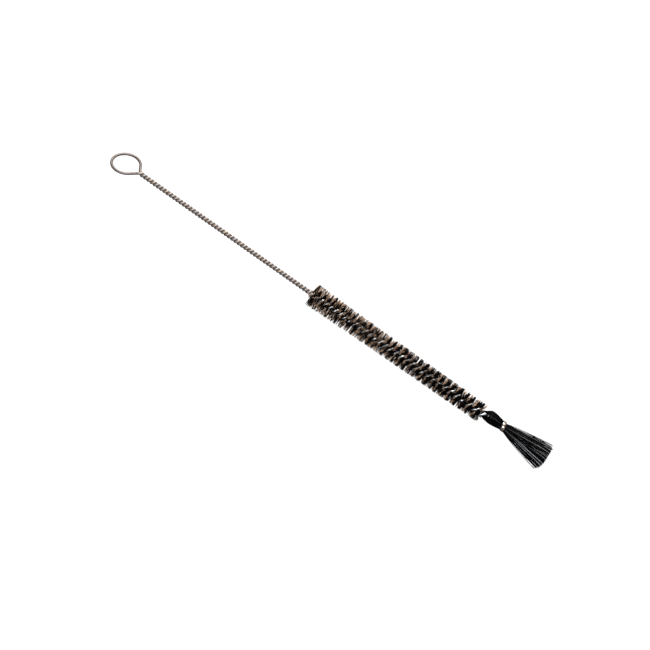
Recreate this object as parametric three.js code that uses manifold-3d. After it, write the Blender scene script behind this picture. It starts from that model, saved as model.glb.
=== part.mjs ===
// Twisted-wire tip cleaning brush.
// One wire is folded in two: its closed end is the handle loop, and its two legs are twisted
// together to the left. The legs grip a bank of bristles in every half-turn, and in the last turn
// a tuft of long fibres, which points forward and is gathered by a crimped clip.
// Millimetres. +X runs from the loop to the tuft, +Z is up, and the brush lies on z = 0.
import * as THREE from "three";
import { mergeVertices } from "three/addons/utils/BufferGeometryUtils.js";
import Module from "manifold-3d";

const wasm = await Module();
wasm.setup();

// Overall
const OVERALL_LENGTH = 254;
const AXIS_HEIGHT = 5.7; // of the wire pair above the surface that the brush lies on
const AXIS_Y = -1.2; // keeps the box centred, though the loop is bent to one side

// Wire
const WIRE_RADIUS = 0.62;
const STEM_HELIX_RADIUS = 0.68; // of a leg's centreline where only the two legs touch
const BRUSH_HELIX_RADIUS_START = 0.96; // where bristles keep the legs apart, at the loop's end
const BRUSH_HELIX_RADIUS_END = 1.12;
const TIP_HELIX_RADIUS = 0.72; // where the legs close again behind the last bristle
const OPENING_TURNS = [-1.2, -0.2]; // where the legs part for the bristles
const CLOSING_TURNS = 0.4; // before the last half-turn ends, where they start to close

// Handle loop, a circle with two straight runs that meet at the apex, bent a little off the stem
const LOOP_RADIUS = 7.05;
const LOOP_APEX = 9.5; // from the loop's centre
const LOOP_DROOP = THREE.MathUtils.degToRad(12); // bent down
const LOOP_SIDE_BEND = THREE.MathUtils.degToRad(10.5); // bent towards +Y
const LOOP_END_SETBACK = 1.5; // where the loop's solid stops short of the legs' solids

// Twist, counted in half-turns from the first bristles: negative along the bare stem
const STEM_HALF_TURNS = 53.28;
const STEM_HALF_PITCH = 1.926; // beside the bristles
const STEM_PITCH_FALL = 0.00019; // shortens the half-pitch towards the loop
const BRUSH_HALF_TURNS = 32;
const BRUSH_HALF_PITCH = 2.673; // at the first bristles
const BRUSH_PITCH_RISE = 0.0118; // lengthens the half-pitch towards the tip
const LAST_TURN_STRETCH = 2.05;
const LAST_TURN_POWER = 16;
const FIRST_ANGLE = THREE.MathUtils.degToRad(129); // of leg A at the first bristles, from +Y to +Z
const WIRE_END_TURN = 32.45; // where the cut ends stop, inside the tuft

// Bristle banks
const BRUSH_START_TURN = -0.15;
const BRUSH_END_TURN = 31.6;
const BRUSH_RADIUS_START = 5.9;
const BRUSH_RADIUS_END = 4.8;
const BRUSH_TAPER_POWER = 1.6;
const BANK_GAP_TURN = 0.05; // left free at each end of a bank
const FAN_HALF_ANGLE = THREE.MathUtils.degToRad(62);
const NECK_HALF_LENGTH = 0.95;
const NECK_HALF_THICKNESS = 0.12;

// Tuft and its clip, lengths measured from the tuft's free end
const TUFT_LENGTH = 36;
const TUFT_MOUTH_RADIUS = 2.05;
const TUFT_SOCKET_RADIUS = 1.7; // round the wires' cut ends
const TUFT_SOCKET_DEPTH = 3.4;
const TUFT_BELLY_RADIUS = 3.34;
const TUFT_BELLY_FULLNESS = 1.12; // of the belly curve's control points
const TUFT_BELLY_START = 0.96; // share of the length at which the first control point sits
const TUFT_WAIST_RADIUS = 1.98;
const TUFT_END_RADIUS = 7;
const TUFT_END_ROUNDING = 1.6;
const CLIP_FROM_END = 24.95; // to the clip's middle
const CLIP_WIDTH = 1.65;
const CLIP_INNER_RADIUS = 2.2;
const CLIP_OUTER_RADIUS = 2.57;
const CLIP_SLANT_Y = -0.13; // how far along X the crooked clip runs per millimetre of Y and of Z
const CLIP_SLANT_Z = -0.12;
const CLIP_SEAM_ANGLE = THREE.MathUtils.degToRad(12);

// Facets
const WIRE_SIDES = 6;
const WIRE_STEPS_PER_TURN = 8;
const LOOP_SIDES = 8;
const LOOP_STEPS = 44;
const BANK_STEPS = 6;
const FAN_STEPS = 3;
const TUFT_SEGMENTS = 28;
const CURVE_POINTS = 6;
const MERGE_DISTANCE = 1e-3;
const CUT_MARGIN = 1;

// Places along the brush
const TUFT_END_X = OVERALL_LENGTH / 2;
const LOOP_REACH = (LOOP_RADIUS + LOOP_APEX * Math.cos(LOOP_SIDE_BEND)) * Math.cos(LOOP_DROOP);
const APEX_X = LOOP_REACH + WIRE_RADIUS - OVERALL_LENGTH / 2;
const STEM_LENGTH = STEM_HALF_TURNS * (STEM_HALF_PITCH - STEM_PITCH_FALL * STEM_HALF_TURNS);
const BRUSH_START_X = APEX_X + STEM_LENGTH;

const WIRE_STEEL = { color: 0x9a928e, roughness: 0.38, metalness: 0.9 };
const CLIP_STEEL = { color: 0xb5aaa2, roughness: 0.3, metalness: 0.9 };
const BRISTLE_DARK = { color: 0x2e2624, roughness: 0.75, metalness: 0 };
const BRISTLE_BROWN = { color: 0x6b5a50, roughness: 0.75, metalness: 0 };
const TUFT_BLACK = { color: 0x17161a, roughness: 0.55, metalness: 0 };

// Distance along X at a twist position, in half-turns from the first bristles.
function axialPosition(turn) {
  if (turn < 0) {
    return BRUSH_START_X + turn * (STEM_HALF_PITCH + STEM_PITCH_FALL * turn);
  }
  const stretch = LAST_TURN_STRETCH * (turn / BRUSH_HALF_TURNS) ** LAST_TURN_POWER;
  return BRUSH_START_X + turn * (BRUSH_HALF_PITCH + BRUSH_PITCH_RISE * turn) + stretch;
}

// Direction of leg A about the X axis. It falls along X, so the twist is left-handed.
function twistAngle(turn) {
  return FIRST_ANGLE - Math.PI * turn;
}

// How far a leg's centreline runs from the X axis.
function helixRadius(turn) {
  const opening = THREE.MathUtils.smoothstep(turn, ...OPENING_TURNS);
  const closingTurn = BRUSH_HALF_TURNS - CLOSING_TURNS;
  const closing = THREE.MathUtils.smoothstep(turn, closingTurn, WIRE_END_TURN);
  const share = THREE.MathUtils.clamp(turn / BRUSH_HALF_TURNS, 0, 1);
  const inBrush = THREE.MathUtils.lerp(BRUSH_HELIX_RADIUS_START, BRUSH_HELIX_RADIUS_END, share);
  const open = THREE.MathUtils.lerp(STEM_HELIX_RADIUS, inBrush, opening);
  return THREE.MathUtils.lerp(open, TIP_HELIX_RADIUS, closing);
}

// Outer radius of the bristles at a twist position.
function brushRadius(turn) {
  const share = THREE.MathUtils.clamp(turn / BRUSH_HALF_TURNS, 0, 1);
  const swell = (1 - share) ** BRUSH_TAPER_POWER;
  return THREE.MathUtils.lerp(BRUSH_RADIUS_END, BRUSH_RADIUS_START, swell);
}

function toSolid(geometry) {
  geometry.deleteAttribute("normal");
  geometry.deleteAttribute("uv");
  const merged = mergeVertices(geometry, MERGE_DISTANCE);
  return new wasm.Manifold(
    new wasm.Mesh({
      numProp: 3,
      vertProperties: merged.getAttribute("position").array,
      triVerts: new Uint32Array(merged.index.array),
    }),
  );
}

function toGeometry(solid) {
  const mesh = solid.getMesh();
  const geometry = new THREE.BufferGeometry();
  geometry.setAttribute("position", new THREE.BufferAttribute(mesh.vertProperties, 3));
  geometry.setIndex(new THREE.BufferAttribute(mesh.triVerts, 1));
  geometry.computeVertexNormals();
  return geometry;
}

// Where soft fibres meet the surface below, they lie flat on it: what would reach under z = 0
// is cut away.
function flattenUnderside(geometry) {
  geometry.computeBoundingBox();
  const low = geometry.boundingBox.min;
  const high = geometry.boundingBox.max;
  if (low.z >= 0) {
    return geometry;
  }
  const below = new THREE.BoxGeometry(
    high.x - low.x + 2 * CUT_MARGIN,
    high.y - low.y + 2 * CUT_MARGIN,
    CUT_MARGIN - low.z,
  );
  below.translate((low.x + high.x) / 2, 0, (low.z - CUT_MARGIN) / 2);
  return toGeometry(toSolid(geometry).subtract(toSolid(below)));
}

function namedMesh(name, geometry, finish) {
  const mesh = new THREE.Mesh(geometry, new THREE.MeshStandardMaterial(finish));
  mesh.name = name;
  return mesh;
}

function wireSection(sides) {
  const corners = [];
  for (let i = 0; i < sides; i += 1) {
    const angle = (2 * Math.PI * i) / sides;
    corners.push(new THREE.Vector2(Math.cos(angle), Math.sin(angle)).multiplyScalar(WIRE_RADIUS));
  }
  return new THREE.Shape(corners);
}

// Centreline of the loop: one straight run, the long arc, and the other straight run. It is drawn
// flat with the apex at the origin, then bent about the apex.
class LoopCentreline extends THREE.Curve {
  constructor() {
    super();
    const halfAngle = Math.acos(LOOP_RADIUS / LOOP_APEX);
    const slope = Math.tan(Math.PI / 2 - halfAngle);
    const end = new THREE.Vector2(-LOOP_END_SETBACK, LOOP_END_SETBACK * slope);
    this.outline = new THREE.Path();
    this.outline.moveTo(end.x, end.y);
    this.outline.lineTo(
      LOOP_RADIUS * Math.cos(halfAngle) - LOOP_APEX,
      LOOP_RADIUS * Math.sin(halfAngle),
    );
    this.outline.absarc(-LOOP_APEX, 0, LOOP_RADIUS, halfAngle, -halfAngle + 2 * Math.PI, false);
    this.outline.lineTo(end.x, -end.y);
    this.bend = new THREE.Matrix4()
      .makeTranslation(APEX_X, 0, AXIS_HEIGHT)
      .multiply(new THREE.Matrix4().makeRotationY(-LOOP_DROOP))
      .multiply(new THREE.Matrix4().makeRotationZ(-LOOP_SIDE_BEND));
  }

  getPoint(t) {
    const point = this.outline.getPoint(t);
    return new THREE.Vector3(point.x, point.y, 0).applyMatrix4(this.bend);
  }
}

// Centreline of one leg: a helix whose radius and pitch change along the brush.
class LegCentreline extends THREE.Curve {
  constructor(side) {
    super();
    this.side = side;
    this.arcLengthDivisions = 4000;
  }

  getPoint(t) {
    const turn = THREE.MathUtils.lerp(-STEM_HALF_TURNS, WIRE_END_TURN, t);
    const angle = twistAngle(turn) + this.side * Math.PI;
    const radius = helixRadius(turn);
    return new THREE.Vector3(
      axialPosition(turn),
      radius * Math.cos(angle),
      AXIS_HEIGHT + radius * Math.sin(angle),
    );
  }
}

function handleLoop() {
  const geometry = new THREE.ExtrudeGeometry(wireSection(LOOP_SIDES), {
    steps: LOOP_STEPS,
    extrudePath: new LoopCentreline(),
  });
  return namedMesh("handle_ring", geometry, WIRE_STEEL);
}

function wireLeg(name, side) {
  const turns = (STEM_HALF_TURNS + WIRE_END_TURN) / 2;
  const geometry = new THREE.ExtrudeGeometry(wireSection(WIRE_SIDES), {
    steps: Math.round(turns * WIRE_STEPS_PER_TURN),
    extrudePath: new LegCentreline(side),
  });
  return namedMesh(name, geometry, WIRE_STEEL);
}

// Section of a bank across the brush, for an outer radius of 1: a thin neck between the legs
// that opens into a fan on either side. x runs along the bristles, y from leg to leg.
function bankSection(outerRadius) {
  const neck = new THREE.Vector2(NECK_HALF_LENGTH, NECK_HALF_THICKNESS).divideScalar(outerRadius);
  const half = [new THREE.Vector2(0, -neck.y), new THREE.Vector2(neck.x, -neck.y)];
  for (let i = 0; i <= FAN_STEPS; i += 1) {
    const angle = FAN_HALF_ANGLE * ((2 * i) / FAN_STEPS - 1);
    half.push(new THREE.Vector2(Math.cos(angle), Math.sin(angle)));
  }
  half.push(neck.clone());
  const otherHalf = half.map((corner) => corner.clone().negate());
  return new THREE.Shape([...half, ...otherHalf]);
}

// One bank: the section is carried along the twist from one half-turn to the next.
function bristleBank(index) {
  const start = BRUSH_START_TURN + index + BANK_GAP_TURN;
  const end = Math.min(BRUSH_START_TURN + index + 1, BRUSH_END_TURN) - BANK_GAP_TURN;
  const outerRadius = brushRadius((start + end) / 2);
  const geometry = new THREE.ExtrudeGeometry(bankSection(outerRadius), {
    depth: 1,
    steps: BANK_STEPS,
    bevelEnabled: false,
  });
  const position = geometry.getAttribute("position");
  for (let i = 0; i < position.count; i += 1) {
    const turn = THREE.MathUtils.lerp(start, end, position.getZ(i));
    const along = position.getX(i) * outerRadius;
    const across = position.getY(i) * outerRadius;
    const angle = twistAngle(turn);
    position.setXYZ(
      i,
      axialPosition(turn),
      along * Math.sin(angle) + across * Math.cos(angle),
      AXIS_HEIGHT - along * Math.cos(angle) + across * Math.sin(angle),
    );
  }
  const name = "bristle_bank_" + String(index + 1).padStart(2, "0");
  return namedMesh(name, flattenUnderside(geometry), index % 2 ? BRISTLE_BROWN : BRISTLE_DARK);
}

// The tuft: a socket round the wires' ends, a belly, a waist under the clip and a flared end.
function tipTuft() {
  const clipFront = CLIP_FROM_END - CLIP_WIDTH;
  const clipBack = CLIP_FROM_END + CLIP_WIDTH;
  const bellyMiddle = (TUFT_LENGTH + clipBack) / 2;
  const profile = new THREE.Path();
  profile.moveTo(0, TUFT_SOCKET_DEPTH - TUFT_LENGTH);
  profile.lineTo(TUFT_SOCKET_RADIUS, TUFT_SOCKET_DEPTH - TUFT_LENGTH);
  profile.lineTo(TUFT_SOCKET_RADIUS, -TUFT_LENGTH);
  profile.lineTo(TUFT_MOUTH_RADIUS, -TUFT_LENGTH);
  profile.bezierCurveTo(
    TUFT_BELLY_RADIUS * TUFT_BELLY_FULLNESS,
    -TUFT_LENGTH * TUFT_BELLY_START,
    TUFT_BELLY_RADIUS * TUFT_BELLY_FULLNESS,
    -bellyMiddle,
    TUFT_WAIST_RADIUS,
    -clipBack,
  );
  profile.lineTo(TUFT_WAIST_RADIUS, -clipFront);
  profile.lineTo(TUFT_END_RADIUS, -TUFT_END_ROUNDING);
  profile.quadraticCurveTo(TUFT_END_RADIUS, 0, TUFT_END_RADIUS - TUFT_END_ROUNDING, 0);
  profile.lineTo(0, 0);
  const geometry = new THREE.LatheGeometry(profile.getPoints(CURVE_POINTS), TUFT_SEGMENTS);
  geometry.rotateZ(-Math.PI / 2);
  geometry.translate(TUFT_END_X, 0, AXIS_HEIGHT);
  return namedMesh("tip_tuft", flattenUnderside(geometry), TUFT_BLACK);
}

// The clip: a strip bent round the tuft, crimped a little crooked, with a narrow seam below.
function tuftClip() {
  const seamStart = -Math.PI / 2 + CLIP_SEAM_ANGLE / 2;
  const seamEnd = seamStart + 2 * Math.PI - CLIP_SEAM_ANGLE;
  const section = new THREE.Shape();
  section.absarc(0, 0, CLIP_OUTER_RADIUS, seamStart, seamEnd, false);
  section.absarc(0, 0, CLIP_INNER_RADIUS, seamEnd, seamStart, true);
  const geometry = new THREE.ExtrudeGeometry(section, {
    depth: CLIP_WIDTH,
    bevelEnabled: false,
    curveSegments: TUFT_SEGMENTS,
  });
  geometry.rotateX(Math.PI / 2);
  geometry.rotateZ(Math.PI / 2);
  geometry.translate(-CLIP_WIDTH / 2, 0, 0);
  geometry.applyMatrix4(new THREE.Matrix4().makeShear(0, 0, CLIP_SLANT_Y, 0, CLIP_SLANT_Z, 0));
  geometry.translate(TUFT_END_X - CLIP_FROM_END, 0, AXIS_HEIGHT);
  return namedMesh("tuft_clip", geometry, CLIP_STEEL);
}

const brush = new THREE.Group();
const wire = new THREE.Group();
wire.add(handleLoop(), wireLeg("wire_leg_a", 0), wireLeg("wire_leg_b", 1));
const bristles = new THREE.Group();
for (let index = 0; index < BRUSH_HALF_TURNS; index += 1) {
  bristles.add(bristleBank(index));
}
const tip = new THREE.Group();
tip.add(tipTuft(), tuftClip());
brush.add(wire, bristles, tip);
brush.position.y = AXIS_Y;

export default brush;
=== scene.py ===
"""Looks of a twisted-wire tip cleaning brush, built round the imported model.

Pieces are worked out in millimetres in the row frame and written to Blender in metres: +X runs from
the handle loop to the tuft, +Z is up. Turns are counted in half-turns of the wire pair from the
first bristles, negative along the bare stem, as in the model. A value with two numbers, named in
the plural, goes from the first at the bristles' loop end to the second at their tip end, unless its
comment says otherwise.
"""

import math

import bpy
import numpy as np
from mathutils import Matrix, Vector


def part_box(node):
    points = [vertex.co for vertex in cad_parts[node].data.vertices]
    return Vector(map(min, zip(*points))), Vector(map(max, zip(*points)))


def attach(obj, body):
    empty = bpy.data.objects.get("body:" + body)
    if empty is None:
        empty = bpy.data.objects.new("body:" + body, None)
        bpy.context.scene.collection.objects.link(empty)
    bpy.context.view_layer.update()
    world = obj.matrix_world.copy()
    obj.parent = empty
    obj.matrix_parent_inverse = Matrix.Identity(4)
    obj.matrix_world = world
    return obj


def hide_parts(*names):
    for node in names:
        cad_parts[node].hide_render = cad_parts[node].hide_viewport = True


MM = 0.001
SEED = 31

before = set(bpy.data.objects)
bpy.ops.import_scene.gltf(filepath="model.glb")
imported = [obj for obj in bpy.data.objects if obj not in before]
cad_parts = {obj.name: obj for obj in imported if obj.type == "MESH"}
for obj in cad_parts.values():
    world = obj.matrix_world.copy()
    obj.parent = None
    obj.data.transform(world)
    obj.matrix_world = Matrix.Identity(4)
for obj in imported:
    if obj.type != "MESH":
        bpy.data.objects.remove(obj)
scene = bpy.context.scene
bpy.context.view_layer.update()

# ---- Places read from the model ----


def box_mm(node):
    """Low and high corner of a model node's box."""
    low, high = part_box(node)
    return np.array(low) / MM, np.array(high) / MM


LOOP_START_X = box_mm("handle_ring")[0][0]
CLIP_LOW, CLIP_HIGH = box_mm("tuft_clip")
TUFT_END_X = box_mm("tip_tuft")[1][0]
BANK_NODES = sorted(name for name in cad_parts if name.startswith("bristle_bank"))

# ---- Wire and loop ----

AXIS_Y = -1.2
AXIS_HEIGHT = 5.7
WIRE_RADIUS = 0.62
WIRE_SIDES = 12
LEG_STEPS = 2100
LOOP_RADIUS = 7.05
LOOP_APEX = 8.9  # from the loop's centre to the point where its straight sides meet
MODEL_LOOP_APEX = 9.5  # the model's loop is a little longer
LOOP_DROOP = math.radians(12)
LOOP_SIDE_BEND = math.radians(10.5)
LOOP_EXTRA_RADIUS = 0.07  # the loop's wire is drawn a little thicker than the stem's
LOOP_REACH = (LOOP_RADIUS + MODEL_LOOP_APEX * math.cos(LOOP_SIDE_BEND)) * math.cos(LOOP_DROOP)
LOOP_ARC_STEPS = 110
LOOP_RUN_STEPS = 12
LOOP_RUN_END = 1.6  # the straight sides end this far before the apex
LOOP_BEND_STEPS = 14
LOOP_BLEND = 0.5  # on either side of the apex, where the loop gives way to the stem
APEX_X = LOOP_START_X + WIRE_RADIUS + LOOP_REACH

# ---- Twist of the wire pair ----

STEM_HALF_TURNS = 53.28
STEM_HALF_PITCH = 1.926
STEM_PITCH_FALL = 0.00019
STEM_LENGTH = STEM_HALF_TURNS * (STEM_HALF_PITCH - STEM_PITCH_FALL * STEM_HALF_TURNS)
STEM_START_TURN = -STEM_HALF_TURNS + 0.45  # where the bends from the loop join the twist
BRUSH_START_X = APEX_X + STEM_LENGTH
BRUSH_HALF_TURNS = 32
BRUSH_HALF_PITCH = 2.673
BRUSH_PITCH_RISE = 0.0118
LAST_TURN_STRETCH = 2.05
LAST_TURN_POWER = 16
FIRST_ANGLE = math.radians(129)
WIRE_END_TURN = 32.45
OPENING_TURNS = (-1.2, -0.2)  # from here to there the legs part to take the bristles
CLOSING_TURNS = (BRUSH_HALF_TURNS - 0.4, WIRE_END_TURN)  # and from here to there they close
STEM_HELIX_RADIUS = 0.645
BRUSH_HELIX_RADII = (0.96, 1.12)
TIP_HELIX_RADIUS = 0.72

# ---- Surfaces ----

WIRE_GLOSS_SHADE_AND_HIGHLIGHT = 0.97  # inside the bristles: painted shade and a painted highlight line on the wire, with more gloss
GLOSS_SHADE_AND_HIGHLIGHT_FADE = 3.0
LOOP_TINT = (0.15, 0.12, 0.11)
STAIN_SHIFT = 25.0  # along the wire, of its noise patterns
BUMP_DISTANCE = 0.00002
GRAIN_SPREAD = 90.0  # the strands take their noise from a line this long
GRAIN_SLANT = 0.37  # the slope of that line

# ---- Bristles ----

BANK_OFFSET = -0.15  # in half-turns, of each bank from its half-turn of the wire
BRUSH_START_TURN = -0.12
BRUSH_END_TURN = 31.6
BRUSH_RADII = (5.9, 4.8)
BRUSH_TAPER_POWER = 1.6
CLUMPS_PER_MM = 12.5
FILAMENTS_PER_CLUMP = 5
TURN_SCATTER = 0.035  # scatter of a clump's filaments about the clump
SHADE_SCATTER = 0.05
LEAN_SCATTER = 0.08
FAN_SCATTER = 0.05
END_SCATTER = 0.06  # between a clump's two ends
FILAMENT_RADIUS = 0.11
FILAMENT_THICKNESSES = (0.8, 1.12)  # least and greatest share of that radius
FILAMENT_TIP_SHARE = 0.72  # of its radius at the root
FILAMENT_STEPS = 6  # on either side of the wire pair
FILAMENT_SIDES = 5
LENGTH_LOSS = 0.012  # mean share by which a filament falls short of the brush's radius
LENGTH_SCATTER = 0.018
FAN_HALF_ANGLES = (math.radians(81), math.radians(72))
FAN_LEADS = (1.03, 1.1)  # the fan reaches further ahead of the twist than behind it
LEAN_SPREADS = (0.26, 0.17)
BUNDLE_PULLS = (0.45, 0.7)  # how far each half-turn's bristles gather into one flat bundle
NECK_REACH = 0.9
NECK_SWING = 0.15
END_PUSH = 0.9  # how far the last bristles lean towards the tip
END_PUSH_TURNS = 0.7  # of the bristles, at their tip end, that lean so

# The first bristles, part of which are short and splay back over the bare wire

ENTRY_TURNS = 0.3
ENTRY_CHANCE = 0.55
ENTRY_REACHES = (0.12, 0.55)  # least and greatest share of the brush's radius
ENTRY_LEANS = (-2.2, -0.4)  # of the shortest and of the longest
ENTRY_SHADE = 0.72

# Shades run from 0, black, to 1, palest tan

BANDS_PER_BANK = 5
BAND_WEIGHTS = (0.75, 0.2)  # how far the clumps of a band share one draw
ORDER_SHARES = (0.15, 0.7)  # the part of the brush along which the shades fall into order
TAN_STARTS = (-0.62, 0.2)  # where in the fan the tan bristles start
TAN_FADE = 0.25
TAN_CHANCES = (0.61, 0.97)
STRAY_TAN_CHANCES = (0.2, 0.03)
DARK_SHADE_LIMITS = (0.55, 0.36)
DARK_SHADE_DRAW = (1.0, 3.2)  # the two shape values of a beta draw, as is the next
LIGHT_SHADE_DRAW = (2.0, 1.7)
LIGHT_SHADE = 0.5  # the least one
LIGHT_SHADE_RANGE = 0.46
TAN_SHADE = 0.6  # a filament with more than this shade is tan
TAN_SHORTER = 0.04
REACH_POWERS = (1.8, 2.2)  # how late the painted shade at the root gives way to the filament's own colour

# ---- Tuft ----

FIBRE_COUNT = 900
FIBRE_LOCKS = 80
FIBRE_RADIUS = 0.1
FIBRE_THICKNESSES = (0.75, 1.15)  # least and greatest share of that radius
FIBRE_TIP_SHARE = 0.85
FIBRE_STEPS = 22
FIBRE_SIDES = 5
FIBRE_STEP_POWER = 1.4  # crowds the steps towards the grip
FIBRE_PLACE_POWER = 0.4  # crowds the fibres towards the outside
FIBRE_WAVE = 0.12
WAVE_RUN = 3.2  # how far the wave runs on from the clip to the end, in radians
WAVE_START_LIMIT = 6.0
LOCK_PLACE_POWER = 0.5
LOCK_PULL = 0.5
LOCK_SHADE_DRAW = (0.45, 1.5)  # the two shape values of a beta draw
FIBRE_SHADE_SCATTER = 0.07
FIBRE_SHADE_BEHIND = 0.6  # share of a fibre's shade that it has behind the clip
GRIP_X = 90.6
GRIP_TURN = 32.0
GRIP_LOBE_OFFSET = 0.55  # of the two lobes at the grip, as a share of the tuft's radius
GRIP_LOBE_RADIUS = 0.25
GRIP_BLEND = 4.5  # the length along which the two lobes at the grip merge
NECK_RADIUS = 0.8
BELLY_SWELL = 1.9
BELLY_POWER = 0.62  # moves the belly's widest place towards the grip
WAIST_RADIUS = 2.1
TUFT_END_RADIUS = 8.12
TUFT_FAN_POWER = 0.85
TUFT_OVERHANG = 0.9
UNEVEN_DRAW = (1.2, 0.18)  # shape and scale of a gamma draw
LOWER_TRIM = 1.7
LOWER_TRIM_START = 0.2  # height below the middle where the trimming starts
UPPER_TRIM = 1.1
UPPER_TRIM_START = 0.45
TUFT_RISE = np.array([0.74, 0.67])  # the way the tuft's neck is bent off the wire, in Y and Z
TUFT_RISES = (0.0, 1.0, 0.75, -0.3)  # at the grip, belly, clip and end
BELLY_PLACE = 0.3  # from the grip to the clip

# ---- Clip ----

CLIP_SHIFT = 0.5  # further along than the model's clip
CLIP_X = (CLIP_LOW[0] + CLIP_HIGH[0]) / 2 + CLIP_SHIFT
CLIP_WIDTH = 1.65
CLIP_INNER_RADIUS = 2.16
CLIP_THICKNESS = 0.38
CLIP_ROUNDING = 0.11
CLIP_STEPS = 72
CLIP_SEAM = math.radians(10)
CLIP_SLANT = np.array([-0.13, -0.12])  # shift along X for each millimetre of Y and Z
CLIP_SQUEEZE = 0.006  # how far the clip is out of round, in four places
CLIP_SEAM_LIFT = 0.03

# ---- Stage, light and camera ----

FLOOR_HALF = 15.0
FLOOR_GREYS = (0.115, 0.125)  # darkest and lightest
FLOOR_GLOW = 0.06
FLOOR_GLOW_SEEN = 0.985
WORLD_COLOUR = (0.98, 0.99, 1.0, 1)
WORLD_LIGHT = 0.22
WORLD_SEEN = 1.02
LIGHT_DISTANCE = 3.0
VIEW_DISTANCE = 900.0
VIEW_TURN = math.radians(3)  # towards the tuft, off square to the wire
VIEW_ELEVATION = math.radians(47.87)
VIEW_ROLL = math.radians(-35.1)  # the wire's slope in the picture
VIEW_CLIP_END = 100.0
LENS = 104.0
SENSOR = 36.0
AIM_ALONG = 5.1
AIM_ACROSS = -8.5

rng = np.random.default_rng(SEED)


def smoothstep(value, low, high):
    share = np.clip((value - low) / (high - low), 0, 1)
    return share * share * (3 - 2 * share)


def lerp(start, end, share):
    return start + (end - start) * share


def brush_share(turn):
    """How far along the bristles a twist position is, from 0 to 1."""
    return np.clip(turn / BRUSH_HALF_TURNS, 0, 1)


def axial_position(turn):
    """Distance along X of a twist position."""
    turn = np.asarray(turn, float)
    stem = turn * (STEM_HALF_PITCH + STEM_PITCH_FALL * turn)
    stretch = LAST_TURN_STRETCH * (np.maximum(turn, 0) / BRUSH_HALF_TURNS) ** LAST_TURN_POWER
    brush = turn * (BRUSH_HALF_PITCH + BRUSH_PITCH_RISE * turn) + stretch
    return BRUSH_START_X + np.where(turn < 0, stem, brush)


def twist_angle(turn):
    """Direction of the first leg about the X axis, from +Y to +Z."""
    return FIRST_ANGLE - math.pi * np.asarray(turn, float)


def helix_radius(turn):
    """How far a leg's centreline runs from the twist's axis."""
    opening = smoothstep(turn, *OPENING_TURNS)
    closing = smoothstep(turn, *CLOSING_TURNS)
    in_brush = lerp(*BRUSH_HELIX_RADII, brush_share(turn))
    return lerp(lerp(STEM_HELIX_RADIUS, in_brush, opening), TIP_HELIX_RADIUS, closing)


def brush_radius(turn):
    """Outer radius of the bristles."""
    return lerp(BRUSH_RADII[1], BRUSH_RADII[0], (1 - brush_share(turn)) ** BRUSH_TAPER_POWER)


# ---- Mesh helpers ----


def unit(vectors):
    return vectors / np.linalg.norm(vectors, axis=-1, keepdims=True)


def tube_faces(count, steps, sides):
    """Faces of closed tubes whose points run tube by tube, ring by ring."""
    tube, step, side = np.meshgrid(
        np.arange(count), np.arange(steps - 1), np.arange(sides), indexing="ij"
    )
    ring = (tube * steps + step) * sides
    following = (side + 1) % sides
    corners = [ring + side, ring + following, ring + sides + following, ring + sides + side]
    walls = np.stack(corners, -1)
    first = np.arange(count)[:, None] * steps * sides + np.arange(sides)[::-1]
    last = (np.arange(count)[:, None] * steps + steps - 1) * sides + np.arange(sides)
    return walls.reshape(-1, 4).tolist() + first.tolist() + last.tolist()


def rings(paths, radii, across, sides):
    """Points of round tubes (tube, step, side, xyz) and the unit directions they lie in.

    Each ring starts near the direction across at its path's point.
    """
    tangents = unit(np.gradient(paths, axis=1))
    across = unit(across - (across * tangents).sum(-1, keepdims=True) * tangents)
    upward = np.cross(tangents, across)
    angle = 2 * math.pi * np.arange(sides) / sides
    cosine = np.cos(angle)[:, None]
    sine = np.sin(angle)[:, None]
    outward = across[:, :, None] * cosine + upward[:, :, None] * sine
    return paths[:, :, None] + outward * radii[:, :, None, None], outward


def carried_across(path):
    """A direction across a long path at each of its points, carried along without twist."""
    tangents = unit(np.gradient(path, axis=0))
    across = np.empty_like(path)
    current = unit(np.cross(tangents[0], [0.0, 0.0, 1.0]))
    for i, tangent in enumerate(tangents):
        current = unit(current - (current @ tangent) * tangent)
        across[i] = current
    return across


def strand_grain(count, distance):
    """Noise places on strands: a random spot for each strand, and the distance along it."""
    seeds = rng.random((count, 1, 1)) * GRAIN_SPREAD
    return np.stack(np.broadcast_arrays(seeds, seeds * GRAIN_SLANT, distance), -1)


def make_piece(name, points, faces, material, replaced, attributes):
    """A smooth mesh that rides the root body, with point attributes for its material."""
    mesh = bpy.data.meshes.new(name)
    mesh.from_pydata((points.reshape(-1, 3) * MM).tolist(), [], faces)
    for label, values in attributes.items():
        vector = values.shape[-1] == 3 and values.size == points.size
        layer = mesh.attributes.new(label, "FLOAT_VECTOR" if vector else "FLOAT", "POINT")
        layer.data.foreach_set("vector" if vector else "value", values.astype(np.float32).ravel())
    mesh.polygons.foreach_set("use_smooth", [True] * len(mesh.polygons))
    mesh.materials.append(material)
    piece = bpy.data.objects.new(name, mesh)
    scene.collection.objects.link(piece)
    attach(piece, "root")
    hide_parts(*replaced)


# ---- Materials ----


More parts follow.
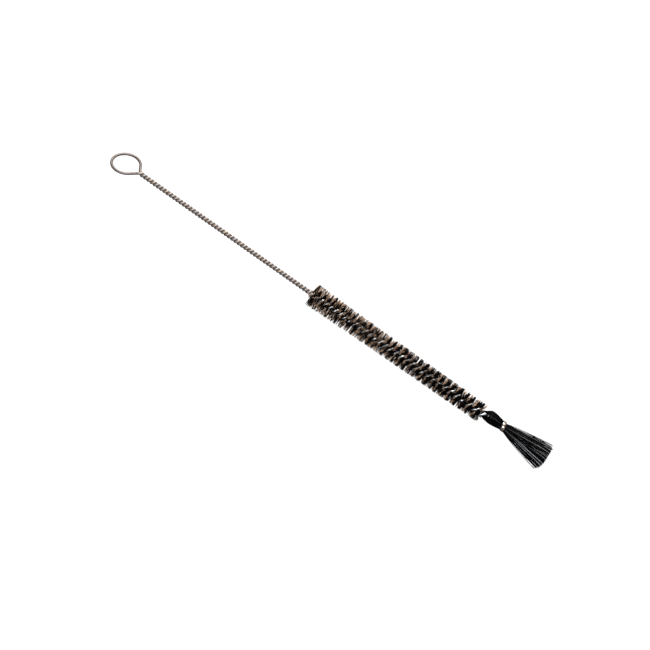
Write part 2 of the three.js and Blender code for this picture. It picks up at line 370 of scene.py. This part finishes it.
class Shader:
    """A material with one Principled shader, and short calls to add nodes before it."""

    def __init__(self, name, **values):
        self.material = bpy.data.materials.new(name)
        self.material.use_nodes = True
        self.tree = self.material.node_tree
        self.principled = self.tree.nodes["Principled BSDF"]
        for socket, value in values.items():
            self.principled.inputs[socket.replace("_", " ")].default_value = value

    def node(self, kind, **settings):
        made = self.tree.nodes.new("ShaderNode" + kind)
        for key, value in settings.items():
            setattr(made, key, value)
        return made

    def link(self, source, target):
        self.tree.links.new(source, target)

    def attribute(self, name, output="Fac"):
        return self.node("Attribute", attribute_name=name).outputs[output]

    def scaled(self, vector, scale):
        made = self.node("VectorMath", operation="MULTIPLY")
        self.link(vector, made.inputs[0])
        made.inputs[1].default_value = scale
        return made.outputs["Vector"]

    def noise(self, vector, scale, detail=3.0, roughness=0.5):
        made = self.node("TexNoise")
        self.link(vector, made.inputs["Vector"])
        made.inputs["Scale"].default_value = scale
        made.inputs["Detail"].default_value = detail
        made.inputs["Roughness"].default_value = roughness
        return made.outputs["Fac"]

    def ramp(self, value, stops):
        made = self.node("ValToRGB")
        elements = made.color_ramp.elements
        while len(elements) < len(stops):
            elements.new(0.5)
        for element, (position, colour) in zip(elements, stops):
            element.position = position
            element.color = (*colour, 1)
        self.link(value, made.inputs["Fac"])
        return made.outputs["Color"]

    def mixed(self, factor, first, second):
        """The first colour where the factor is 0, the second where it is 1."""
        made = self.node("Mix", data_type="RGBA")
        self.link(factor, made.inputs["Factor"])
        for socket, value in ((made.inputs[6], first), (made.inputs[7], second)):
            if isinstance(value, tuple):
                socket.default_value = (*value, 1)
            else:
                self.link(value, socket)
        return made.outputs[2]

    def mapped(self, value, low, high, start=0.0, end=1.0):
        """A value that is low where the given one is start, and high where it is end."""
        made = self.node("MapRange")
        self.link(value, made.inputs["Value"])
        for socket, number in zip(made.inputs[1:5], (start, end, low, high)):
            socket.default_value = number
        return made.outputs["Result"]

    def product(self, first, second):
        made = self.node("Math", operation="MULTIPLY")
        self.link(first, made.inputs[0])
        self.link(second, made.inputs[1])
        return made.outputs["Value"]

    def bump(self, height, strength):
        made = self.node("Bump")
        made.inputs["Distance"].default_value = BUMP_DISTANCE
        made.inputs["Strength"].default_value = strength
        self.link(height, made.inputs["Height"])
        self.link(made.outputs["Normal"], self.principled.inputs["Normal"])

    def colour(self, source):
        self.link(source, self.principled.inputs["Base Color"])

    def roughness(self, source):
        self.link(source, self.principled.inputs["Roughness"])


def wire_material():
    """Zinc-coated wire: drawing lines, faint yellow and blue stains, painted shade between the
    strands.

    The attribute valley is 1 where the surface faces the other strand and -1 on the outside. Where
    gloss_shade_and_highlight is high, inside the bristles, the wire is glossier and painted dark as
    shade, except for a painted highlight along its outermost line.
    """
    shader = Shader("zinc_wire", Metallic=1.0)
    grain = shader.attribute("grain", "Vector")
    valley = shader.attribute("valley")
    gloss_shade_and_highlight = shader.attribute("gloss_shade_and_highlight")
    lines = shader.noise(shader.scaled(grain, (6, 6, 0.35)), 1.0, detail=4)
    patches = shader.noise(shader.scaled(grain, (1, 1, 0.28)), 0.9, detail=2)
    specks = shader.noise(grain, 7.0, detail=3, roughness=0.7)
    tint = shader.ramp(
        patches,
        [
            (0.3, (0.34, 0.34, 0.37)),
            (0.42, (0.36, 0.315, 0.29)),
            (0.62, (0.40, 0.33, 0.29)),
            (0.75, (0.50, 0.40, 0.25)),
        ],
    )
    lined = shader.mixed(shader.mapped(lines, 0.0, 0.35, 0.35, 0.7), tint, (0.42, 0.37, 0.345))
    speckled = shader.mixed(shader.mapped(specks, 0.0, 0.45, 0.55, 0.8), lined, (0.22, 0.185, 0.17))
    looped = shader.mixed(shader.mapped(shader.attribute("loop"), 0.0, 0.6), speckled, LOOP_TINT)
    # painted shade: the wire inside the bristles is dark
    bare = shader.mixed(gloss_shade_and_highlight, looped, (0.10, 0.10, 0.11))
    # painted highlight: a bright line along the outermost side of the wire inside the bristles
    ridge = shader.mapped(valley, 1.0, 0.0, -0.92, -0.55)
    shone = shader.mixed(shader.product(gloss_shade_and_highlight, ridge), bare, (0.95, 0.98, 1.0))
    # painted shade where the surface faces the other strand
    shaded = shader.mixed(shader.mapped(valley, 0.0, 0.75, 0.15, 0.9), shone, (0.06, 0.046, 0.04))
    shader.colour(shaded)
    dull = shader.mapped(specks, 0.5, 0.66, 0.3, 0.75)
    shader.roughness(shader.product(dull, shader.mapped(gloss_shade_and_highlight, 1.0, 0.62)))
    shader.bump(lines, 0.5)
    return shader.material


def bristle_material():
    """Natural bristle, black to tan, each filament in its own shade; painted shade darkens the roots.
    """
    shader = Shader("natural_bristle", Roughness=0.5, Specular_IOR_Level=0.05)
    grain = shader.attribute("grain", "Vector")
    streaks = shader.noise(shader.scaled(grain, (1, 1, 0.8)), 1.3, detail=3)
    colour = shader.ramp(
        shader.attribute("shade"),
        [
            (0.0, (0.002, 0.0015, 0.0015)),
            (0.3, (0.014, 0.009, 0.008)),
            (0.5, (0.10, 0.065, 0.053)),
            (0.7, (0.37, 0.25, 0.19)),
            (0.85, (0.70, 0.46, 0.29)),
            (1.0, (0.72, 0.56, 0.45)),
        ],
    )
    dark_streaks = shader.mapped(streaks, 0.0, 0.5, 0.45, 0.75)
    streaked = shader.mixed(dark_streaks, colour, (0.012, 0.008, 0.007))
    # painted shade: filaments darken towards their roots, deep among the other bristles
    painted_root_shade = shader.mapped(shader.attribute("reach"), 0.98, 0.0, 0.41, 0.82)
    shader.colour(shader.mixed(painted_root_shade, streaked, (0.001, 0.001, 0.001)))
    shader.roughness(shader.mapped(streaks, 0.38, 0.62, 0.3, 0.7))
    shader.bump(streaks, 0.4)
    return shader.material


def fibre_material():
    """Black fibre; lighter locks, part fibre colour and part painted sheen, brown above, blue-grey
    below.
    """
    shader = Shader("black_fibre", Roughness=0.3, Specular_IOR_Level=0.03)
    grain = shader.attribute("grain", "Vector")
    streaks = shader.noise(shader.scaled(grain, (1, 1, 0.35)), 1.1, detail=3)
    # lighter locks: partly the fibres' own colour, partly painted sheen; brown on the upper side,
    # blue-grey below
    pale_and_sheen = shader.ramp(
        shader.mapped(shader.attribute("tone"), 0.0, 1.0, -1.0, 1.0),
        [
            (0.1, (0.34, 0.37, 0.42)),
            (0.5, (0.56, 0.56, 0.58)),
            (0.82, (0.44, 0.42, 0.43)),
            (0.97, (0.46, 0.34, 0.28)),
        ],
    )
    pale_and_sheen_share = shader.mapped(shader.attribute("shade"), 0.0, 1.0, 0.28, 0.66)
    colour = shader.mixed(pale_and_sheen_share, (0.0015, 0.0015, 0.002), pale_and_sheen)
    dark_streaks = shader.mapped(streaks, 0.0, 0.6, 0.4, 0.8)
    shader.colour(shader.mixed(dark_streaks, colour, (0.001, 0.001, 0.0015)))
    shader.roughness(shader.mapped(streaks, 0.26, 0.48, 0.3, 0.7))
    shader.bump(streaks, 0.4)
    return shader.material


def clip_material():
    """Plated strip, brushed round its length, with brownish stains."""
    shader = Shader("clip_strip", Metallic=1.0)
    grain = shader.attribute("grain", "Vector")
    brushed = shader.noise(shader.scaled(grain, (14, 0.6, 0.6)), 1.0, detail=4)
    stains = shader.noise(grain, 1.4, detail=3)
    tint = shader.ramp(
        stains,
        [
            (0.35, (0.44, 0.38, 0.33)),
            (0.6, (0.34, 0.27, 0.22)),
            (0.78, (0.20, 0.15, 0.125)),
        ],
    )
    bright_lines = shader.mapped(brushed, 0.0, 0.4, 0.4, 0.7)
    shader.colour(shader.mixed(bright_lines, tint, (0.52, 0.47, 0.43)))
    shader.roughness(shader.mapped(brushed, 0.2, 0.4, 0.3, 0.7))
    shader.bump(brushed, 0.6)
    return shader.material


def floor_material():
    """A dark grey that glows white to the camera and dimly otherwise, so its shadows stay faint."""
    shader = Shader("pale_floor", Roughness=0.9, Specular_IOR_Level=0.0)
    position = shader.node("NewGeometry").outputs["Position"]
    mottle = shader.noise(position, 9.0, detail=2)
    dark, light = FLOOR_GREYS
    shader.colour(shader.ramp(mottle, [(0.3, (dark, dark, dark)), (0.7, (light, light, light))]))
    shader.principled.inputs["Emission Color"].default_value = (1, 1, 1, 1)
    seen = shader.node("LightPath").outputs["Is Camera Ray"]
    glow = shader.mapped(seen, FLOOR_GLOW, FLOOR_GLOW_SEEN)
    shader.link(glow, shader.principled.inputs["Emission Strength"])
    return shader.material


# ---- Wire ----


def leg_path(turns, side):
    """Centreline of one twisted leg, about the X axis."""
    angle = twist_angle(turns) + side * math.pi
    radius = helix_radius(turns)
    return np.stack([axial_position(turns), radius * np.cos(angle), radius * np.sin(angle)], -1)


def hermite(start, start_slope, end, end_slope, share):
    """Points of a smooth curve between two ends with given slopes."""
    share = share[:, None]
    square, cube = share**2, share**3
    return (
        start * (2 * cube - 3 * square + 1)
        + start_slope * (cube - 2 * square + share)
        + end * (3 * square - 2 * cube)
        + end_slope * (cube - square)
    )


def bent_loop(flat):
    """The loop's flat course, apex at the origin, bent off the stem and moved to the apex."""
    bend = Matrix.Rotation(-LOOP_DROOP, 3, "Y") @ Matrix.Rotation(-LOOP_SIDE_BEND, 3, "Z")
    return flat @ np.array(bend).T + [APEX_X, 0, 0]


def loop_arc(angles):
    """Points on the loop's circle, in the flat."""
    x = LOOP_RADIUS * np.cos(angles) - LOOP_APEX
    return np.stack([x, LOOP_RADIUS * np.sin(angles), 0 * angles], -1)


def wire_half(side, turns, meet_angle):
    """Centreline from the loop's circle along its straight side and one twisted leg."""
    mirror = np.array([1.0, 1.0 - 2 * side, 1.0])
    run_start = loop_arc(np.array([meet_angle]))[0]
    run_end = np.array([-LOOP_RUN_END, LOOP_RUN_END * math.tan(math.pi / 2 - meet_angle), 0.0])
    run_shares = np.linspace(0, 1, LOOP_RUN_STEPS)[1:, None]
    run = bent_loop(lerp(run_start, run_end, run_shares) * mirror)
    leg = leg_path(turns, side)
    run_direction = unit(run[-1] - run[-2])
    leg_direction = unit(leg[1] - leg[0])
    span = np.linalg.norm(leg[0] - run[-1])
    bend_shares = np.linspace(0, 1, LOOP_BEND_STEPS)[1:-1]
    bend = hermite(run[-1], run_direction * span, leg[0], leg_direction * span, bend_shares)
    return np.concatenate([run, bend, leg])


def wire_path():
    """Centreline of the whole folded wire, from one cut end round the loop to the other."""
    turns = np.linspace(STEM_START_TURN, WIRE_END_TURN, LEG_STEPS)
    meet_angle = math.acos(LOOP_RADIUS / LOOP_APEX)
    arc = np.linspace(meet_angle, 2 * math.pi - meet_angle, LOOP_ARC_STEPS)
    first = wire_half(0, turns, meet_angle)[::-1]
    second = wire_half(1, turns, meet_angle)
    path = np.concatenate([first, bent_loop(loop_arc(arc)), second])
    return path + [0, AXIS_Y, AXIS_HEIGHT]


def make_wire(material):
    path = wire_path()
    steps = np.linalg.norm(np.diff(path, axis=0), axis=1)
    along = np.concatenate([[0], np.cumsum(steps)]) + STAIN_SHIFT
    twisted = smoothstep(path[:, 0], APEX_X - LOOP_BLEND, APEX_X + LOOP_BLEND)
    radii = WIRE_RADIUS + LOOP_EXTRA_RADIUS * (1 - twisted[None])
    points, outward = rings(path[None], radii, carried_across(path)[None], WIRE_SIDES)
    inward = np.array([0, AXIS_Y, AXIS_HEIGHT]) - path * [0, 1, 1]
    depth = np.linalg.norm(inward, axis=-1)
    valley = (outward[0] * (inward / depth[:, None])[:, None]).sum(-1) * twisted[:, None]
    # painted shade and highlight, with more gloss, on the wire inside the bristles
    gloss_shade_and_highlight = WIRE_GLOSS_SHADE_AND_HIGHLIGHT * smoothstep(path[:, 0], BRUSH_START_X, BRUSH_START_X + GLOSS_SHADE_AND_HIGHLIGHT_FADE)
    angle = 2 * math.pi * np.arange(WIRE_SIDES) / WIRE_SIDES
    across = np.cos(angle) * WIRE_RADIUS, np.sin(angle) * WIRE_RADIUS
    make_piece(
        "twisted_wire",
        points,
        tube_faces(1, len(path), WIRE_SIDES),
        material,
        ["handle_ring", "wire_leg_a", "wire_leg_b"],
        {
            "valley": valley,
            "gloss_shade_and_highlight": np.broadcast_to(gloss_shade_and_highlight[:, None], valley.shape),
            "loop": np.broadcast_to(1 - twisted[:, None], valley.shape),
            "grain": np.stack(np.broadcast_arrays(*across, along[:, None]), -1),
        },
    )


# ---- Bristle banks ----


def clump_shades(turn, lead):
    """Shade of each clump: tan ahead of the twist, in better order towards the tip."""
    order = smoothstep(brush_share(turn), *ORDER_SHARES)
    tan_start = lerp(*TAN_STARTS, order)
    ahead = smoothstep(lead, tan_start, tan_start + TAN_FADE)
    band = ((turn - turn[0]) * BANDS_PER_BANK).astype(int)
    own_draw = rng.random(len(turn))
    band_draw = rng.random(BANDS_PER_BANK + 2)[band]
    draw = lerp(own_draw, band_draw, lerp(*BAND_WEIGHTS, order))
    chance = lerp(lerp(*STRAY_TAN_CHANCES, order), lerp(*TAN_CHANCES, order), ahead)
    dark_shade = rng.beta(*DARK_SHADE_DRAW, len(turn)) * lerp(*DARK_SHADE_LIMITS, order)
    light_shade = LIGHT_SHADE + LIGHT_SHADE_RANGE * rng.beta(*LIGHT_SHADE_DRAW, len(turn))
    return np.where(draw < chance, light_shade, dark_shade)


def scattered(values, scatter):
    """Values of the filaments in each clump, scattered about the clump's own."""
    repeated = np.repeat(values, FILAMENTS_PER_CLUMP, axis=0)
    return repeated + rng.normal(0, scatter, repeated.shape)


def gripped_filaments(start, end):
    """Turn, shade, lean and fan angle of the filaments gripped between two twist positions.

    Lean and fan angle have two columns, one for each end of a filament.
    """
    clumps = int(round(CLUMPS_PER_MM * (axial_position(end) - axial_position(start))))
    turn = lerp(start, end, (np.arange(clumps) + rng.random(clumps)) / clumps)
    share = brush_share(turn)
    lead = rng.uniform(-1, lerp(*FAN_LEADS, share))
    shade = clump_shades(turn, lead)
    lean = rng.normal(0, 1, (clumps, 2)) * lerp(*LEAN_SPREADS, share)[:, None]
    fan = lead[:, None] + rng.normal(0, END_SCATTER, (clumps, 2))
    half_angle = np.repeat(lerp(*FAN_HALF_ANGLES, share), FILAMENTS_PER_CLUMP)[:, None]
    pull = np.repeat(lerp(*BUNDLE_PULLS, share), FILAMENTS_PER_CLUMP)[:, None]
    turn = scattered(turn, TURN_SCATTER)
    shade = np.clip(scattered(shade, SHADE_SCATTER), 0, 1)
    lean = scattered(lean, LEAN_SCATTER)
    fan = scattered(fan, FAN_SCATTER) * half_angle
    swing = (turn[:, None] + fan / math.pi + 0.5) % 1 - 0.5  # half-turns past a bundle's middle
    half_pitch = (BRUSH_HALF_PITCH + 2 * BRUSH_PITCH_RISE * turn)[:, None]
    return turn, shade, lean - pull * swing * half_pitch, fan


def splay_entry(turn, shade, lean):
    """Lean some of the first filaments back over the bare wire, and make them short and pale."""
    entry = (turn < ENTRY_TURNS) & (rng.random(len(turn)) < ENTRY_CHANCE)
    splay = rng.random(len(turn))
    lean = lean + (entry * lerp(*ENTRY_LEANS, splay))[:, None]
    shade = np.where(entry, np.maximum(shade, ENTRY_SHADE), shade)
    reach = np.where(entry, lerp(*ENTRY_REACHES, splay), 1)
    return shade, lean, reach


def half_filament(root_offset, fan_angle, length, side):
    """A filament's course in its own plane, from between the wires out to one tip."""
    share = np.linspace(0, 1, FILAMENT_STEPS + 1)[None, 1:, None]
    neck_offset = root_offset - side * NECK_SWING * np.sin(fan_angle)
    neck = np.stack([side * NECK_REACH + 0 * root_offset, neck_offset], -1)[:, None]
    root = np.stack([0 * root_offset, root_offset], -1)[:, None]
    tip = side * length[:, None] * np.stack([np.cos(fan_angle), -np.sin(fan_angle)], -1)
    return root * (1 - share) ** 2 + 2 * neck * share * (1 - share) + tip[:, None] * share**2


def bank_filaments(start, end):
    """Paths, shades and outward reach of the filaments gripped between two twist positions."""
    turn, shade, lean, fan = gripped_filaments(start, end)
    shade, lean, reach = splay_entry(turn, shade, lean)
    outer = brush_radius(turn) * (1 - TAN_SHORTER * (shade > TAN_SHADE)) * reach
    lengths = outer[:, None] * (1 + rng.normal(-LENGTH_LOSS, LENGTH_SCATTER, fan.shape))
    root_room = helix_radius(turn) - WIRE_RADIUS - FILAMENT_RADIUS
    offset = rng.uniform(-1, 1, len(turn)) * root_room
    near = half_filament(offset, fan[:, 0], lengths[:, 0], -1)[:, ::-1]
    root = np.stack([0 * offset, offset], -1)[:, None]
    far = half_filament(offset, fan[:, 1], lengths[:, 1], 1)
    flat = np.concatenate([near, root, far], axis=1)
    outreach = np.linalg.norm(flat, axis=-1) / outer[:, None]
    leans = np.insert(np.repeat(lean, FILAMENT_STEPS, axis=1), FILAMENT_STEPS, 0, axis=1)
    push = smoothstep(turn, BRUSH_END_TURN - END_PUSH_TURNS, BRUSH_END_TURN) * END_PUSH
    angle = twist_angle(turn)[:, None]
    along, across = flat[..., 0], flat[..., 1]
    x = axial_position(turn)[:, None] + (leans + push[:, None]) * outreach**2
    y = AXIS_Y + along * np.sin(angle) + across * np.cos(angle)
    z = AXIS_HEIGHT - along * np.cos(angle) + across * np.sin(angle)
    return np.stack([x, y, np.maximum(z, FILAMENT_RADIUS)], -1), shade, outreach


def make_bank(index, node, material):
    start = max(index + BANK_OFFSET, BRUSH_START_TURN)
    end = min(index + 1 + BANK_OFFSET, BRUSH_END_TURN)
    paths, shade, outreach = bank_filaments(start, end)
    count, steps = paths.shape[:2]
    taper = lerp(1.0, FILAMENT_TIP_SHARE, np.clip(outreach, 0, 1) ** 3)
    radii = FILAMENT_RADIUS * taper * rng.uniform(*FILAMENT_THICKNESSES, (count, 1))
    axis = np.broadcast_to(np.array([1.0, 0.0, 0.0]), paths.shape)
    points, _ = rings(paths, radii, axis, FILAMENT_SIDES)
    shape = points.shape[:3]
    distance = np.linspace(-1, 1, steps)[None, :, None] * BRUSH_RADII[0]
    # reach drives the painted shade at the filaments' roots
    reach = outreach[..., None] ** lerp(*REACH_POWERS, index / BRUSH_HALF_TURNS)
    make_piece(
        node.replace("bank", "tufts"),
        points,
        tube_faces(count, steps, FILAMENT_SIDES),
        material,
        [node],
        {
            "shade": np.broadcast_to(shade[:, None, None], shape),
            "reach": np.broadcast_to(reach, shape),
            "grain": strand_grain(count, np.broadcast_to(distance, shape)),
        },
    )


# ---- Tip tuft and its clip ----


def tuft_radius(x):
    """Outer radius of the tuft: a belly behind the clip, then a widening fan."""
    behind = np.clip((x - GRIP_X) / (CLIP_X - GRIP_X), 0, 1)
    swell = BELLY_SWELL * np.sin(math.pi * behind**BELLY_POWER)
    belly = lerp(NECK_RADIUS, WAIST_RADIUS, behind) + swell
    clip_end = CLIP_X + CLIP_WIDTH / 2
    ahead = np.clip((x - clip_end) / (TUFT_END_X - clip_end), 0, 1)
    fan = lerp(WAIST_RADIUS, TUFT_END_RADIUS, ahead**TUFT_FAN_POWER)
    return np.where(x < CLIP_X, belly, fan)


def nearest_lobe(theta):
    """Direction of the lobe, of the two at the grip, that a fibre leaves from."""
    lobe = twist_angle(GRIP_TURN) + math.pi / 2
    turns = np.round((theta - lobe) / math.pi)
    return lobe + turns * math.pi


def tuft_middle(x):
    """How far the tuft's middle line lies off the wire's axis, in Y and Z."""
    places = (GRIP_X, lerp(GRIP_X, CLIP_X, BELLY_PLACE), CLIP_X, TUFT_END_X)
    return np.interp(x, places, TUFT_RISES)[..., None] * TUFT_RISE


def disc_points(angle, radius):
    return np.stack([radius * np.cos(angle), radius * np.sin(angle)], -1)


def fibre_ends(height):
    """Where the fibres are cut: a little unevenly, and shorter at the tuft's lower and upper edge."""
    uneven = rng.gamma(*UNEVEN_DRAW, FIBRE_COUNT)
    lower = LOWER_TRIM * smoothstep(-height, LOWER_TRIM_START, 1)
    upper = UPPER_TRIM * smoothstep(height, UPPER_TRIM_START, 1)
    return TUFT_END_X + TUFT_OVERHANG - uneven - lower - upper


def fibre_waves(ahead):
    """A loose sideways wave of each fibre, in Y and Z."""
    size = rng.normal(0, FIBRE_WAVE, (FIBRE_COUNT, 1, 2))
    phase = rng.uniform(0, WAVE_START_LIMIT, (FIBRE_COUNT, 1, 1))
    return size * np.sin(phase + WAVE_RUN * ahead[..., None]) * ahead[..., None]


def tuft_paths():
    """Fibre centrelines, how far past the clip their points are, and their locks and heights.

    A height is a fibre's place across the tuft along its rise, from -1 at the lower edge to 1.
    """
    theta = rng.uniform(0, 2 * math.pi, FIBRE_COUNT)
    spread = rng.uniform(0, 1, FIBRE_COUNT) ** FIBRE_PLACE_POWER
    lock = rng.integers(0, FIBRE_LOCKS, FIBRE_COUNT)
    lock_theta = rng.uniform(0, 2 * math.pi, FIBRE_LOCKS)[lock]
    lock_spread = (rng.uniform(0, 1, FIBRE_LOCKS) ** LOCK_PLACE_POWER)[lock]
    own = disc_points(theta, spread)
    shared = disc_points(lock_theta, lock_spread)
    height = own @ TUFT_RISE
    shares = np.linspace(0, 1, FIBRE_STEPS) ** FIBRE_STEP_POWER
    x = lerp(GRIP_X, fibre_ends(height)[:, None], shares)
    ahead = smoothstep(x, CLIP_X, TUFT_END_X)
    behind = smoothstep(x, GRIP_X, GRIP_X + GRIP_BLEND)
    gripped = disc_points(nearest_lobe(theta), GRIP_LOBE_OFFSET) + GRIP_LOBE_RADIUS * own
    place = lerp(gripped[:, None], own[:, None], behind[..., None])
    pull = LOCK_PULL * smoothstep(x, GRIP_X, TUFT_END_X)[..., None]
    place = lerp(place, shared[:, None], pull) * tuft_radius(x)[..., None]
    place = place + fibre_waves(ahead) + tuft_middle(x)
    y = AXIS_Y + place[..., 0]
    z = np.maximum(AXIS_HEIGHT + place[..., 1], FIBRE_RADIUS)
    return np.stack([x, y, z], -1), ahead, lock, height


def make_tuft(material):
    paths, ahead, lock, height = tuft_paths()
    lock_shade = rng.beta(*LOCK_SHADE_DRAW, FIBRE_LOCKS)[lock]
    shade = lock_shade + rng.normal(0, FIBRE_SHADE_SCATTER, FIBRE_COUNT)
    taper = lerp(1.0, FIBRE_TIP_SHARE, ahead**2)
    radii = FIBRE_RADIUS * taper * rng.uniform(*FIBRE_THICKNESSES, (FIBRE_COUNT, 1))
    upward = np.broadcast_to(np.array([0.0, 0.0, 1.0]), paths.shape)
    points, _ = rings(paths, radii, upward, FIBRE_SIDES)
    shape = points.shape[:3]
    # how much lighter colour and painted sheen a fibre shows, less behind the clip
    pale_and_sheen_amount = (shade[:, None] * lerp(FIBRE_SHADE_BEHIND, 1.0, ahead))[..., None]
    make_piece(
        "tuft_fibres",
        points,
        tube_faces(FIBRE_COUNT, FIBRE_STEPS, FIBRE_SIDES),
        material,
        ["tip_tuft"],
        {
            "shade": np.broadcast_to(pale_and_sheen_amount, shape),
            "tone": np.broadcast_to(height[:, None, None], shape),
            "grain": strand_grain(FIBRE_COUNT, points[..., 0]),
        },
    )


def clip_profile():
    """Cross-section of the clip's strip with rounded corners: places along X and outward."""
    profile = []
    for x_side, outer, start in ((1, True, 0), (-1, True, 90), (-1, False, 180), (1, False, 270)):
        corner_x = x_side * (CLIP_WIDTH / 2 - CLIP_ROUNDING)
        corner_r = CLIP_THICKNESS - CLIP_ROUNDING if outer else CLIP_ROUNDING
        for degree in (0, 45, 90):
            angle = math.radians(start + degree)
            x = corner_x + CLIP_ROUNDING * math.cos(angle)
            profile.append((x, corner_r + CLIP_ROUNDING * math.sin(angle)))
    return np.array(profile)


def make_clip(material):
    """A strip bent round the tuft, its edges rounded, its ends almost meeting at a seam below."""
    profile = clip_profile()
    around = np.linspace(CLIP_SEAM / 2, 2 * math.pi - CLIP_SEAM / 2, CLIP_STEPS) - math.pi / 2
    from_seam = (around + math.pi / 2) % (2 * math.pi)
    squeeze = 1 + CLIP_SQUEEZE * np.cos(4 * around) + CLIP_SEAM_LIFT * np.exp(-(from_seam**2))
    radius = (CLIP_INNER_RADIUS + profile[None, :, 1]) * squeeze[:, None]
    y = radius * np.cos(around)[:, None]
    z = radius * np.sin(around)[:, None]
    x = CLIP_X + profile[None, :, 0] + CLIP_SLANT[0] * y + CLIP_SLANT[1] * z
    middle = TUFT_RISES[2] * TUFT_RISE
    make_piece(
        "clip_band",
        np.stack([x, AXIS_Y + y + middle[0], AXIS_HEIGHT + z + middle[1]], -1)[None],
        tube_faces(1, CLIP_STEPS, len(profile)),
        material,
        ["tuft_clip"],
        {"grain": np.stack([x - CLIP_X, y, z], -1)},
    )


# ---- Stage, light and camera ----


def make_floor():
    mesh = bpy.data.meshes.new("floor")
    corners = [(x * FLOOR_HALF, y * FLOOR_HALF, 0) for x, y in ((-1, -1), (1, -1), (1, 1), (-1, 1))]
    mesh.from_pydata(corners, [], [(0, 1, 2, 3)])
    mesh.materials.append(floor_material())
    floor = bpy.data.objects.new("floor", mesh)
    scene.collection.objects.link(floor)


def make_light(name, direction, size, power, colour, diffuse, specular):
    """A round lamp that faces the origin from the given direction."""
    data = bpy.data.lights.new(name, "AREA")
    data.shape = "DISK"
    data.size = size
    data.energy = power
    data.color = colour
    data.diffuse_factor = diffuse
    data.specular_factor = specular
    light = bpy.data.objects.new(name, data)
    scene.collection.objects.link(light)
    light.location = Vector(direction).normalized() * LIGHT_DISTANCE
    light.rotation_euler = Vector(direction).to_track_quat("Z", "Y").to_euler()
    light.visible_camera = False


def make_lights():
    make_light(
        "key",
        direction=(-0.25, 0.38, 0.88),
        size=1.8,
        power=128.0,
        colour=(1.0, 0.98, 0.95),
        diffuse=1.0,
        specular=0.12,
    )
    make_light(
        "front",
        direction=(0.05, -0.8, 0.6),
        size=0.4,
        power=48.0,
        colour=(0.92, 0.96, 1.0),
        diffuse=0.25,
        specular=1.0,
    )


def make_world():
    """An even pale surround: white to the camera, softer as a light."""
    world = bpy.data.worlds.new("studio")
    scene.world = world
    world.use_nodes = True
    tree = world.node_tree
    background = tree.nodes["Background"]
    background.inputs["Color"].default_value = WORLD_COLOUR
    seen = tree.nodes.new("ShaderNodeLightPath")
    strength = tree.nodes.new("ShaderNodeMapRange")
    strength.inputs["To Min"].default_value = WORLD_LIGHT
    strength.inputs["To Max"].default_value = WORLD_SEEN
    tree.links.new(seen.outputs["Is Camera Ray"], strength.inputs["Value"])
    tree.links.new(strength.outputs["Result"], background.inputs["Strength"])


def make_camera():
    """A camera square to the wire but for VIEW_TURN, rolled so that the wire slopes down."""
    data = bpy.data.cameras.new("camera")
    data.lens = LENS
    data.sensor_width = SENSOR
    data.clip_end = VIEW_CLIP_END
    camera = bpy.data.objects.new("camera", data)
    scene.collection.objects.link(camera)
    square = Vector((0, -math.cos(VIEW_ELEVATION), math.sin(VIEW_ELEVATION)))
    back = square * math.cos(VIEW_TURN) + Vector((math.sin(VIEW_TURN), 0, 0))
    along = Vector((math.cos(VIEW_TURN), 0, 0)) - square * math.sin(VIEW_TURN)
    across = back.cross(along)
    right = along * math.cos(VIEW_ROLL) - across * math.sin(VIEW_ROLL)
    upward = along * math.sin(VIEW_ROLL) + across * math.cos(VIEW_ROLL)
    aim = Vector((AIM_ALONG, AXIS_Y, AXIS_HEIGHT)) + across * AIM_ACROSS
    rotation = Matrix((right, upward, back)).transposed().to_4x4()
    camera.matrix_world = Matrix.Translation((aim + back * VIEW_DISTANCE) * MM) @ rotation
    scene.camera = camera


make_wire(wire_material())
bristles = bristle_material()
for bank_index, bank_node in enumerate(BANK_NODES):
    make_bank(bank_index, bank_node, bristles)
make_tuft(fibre_material())
make_clip(clip_material())

make_floor()
make_world()
make_lights()
make_camera()
scene.view_settings.view_transform = "Standard"
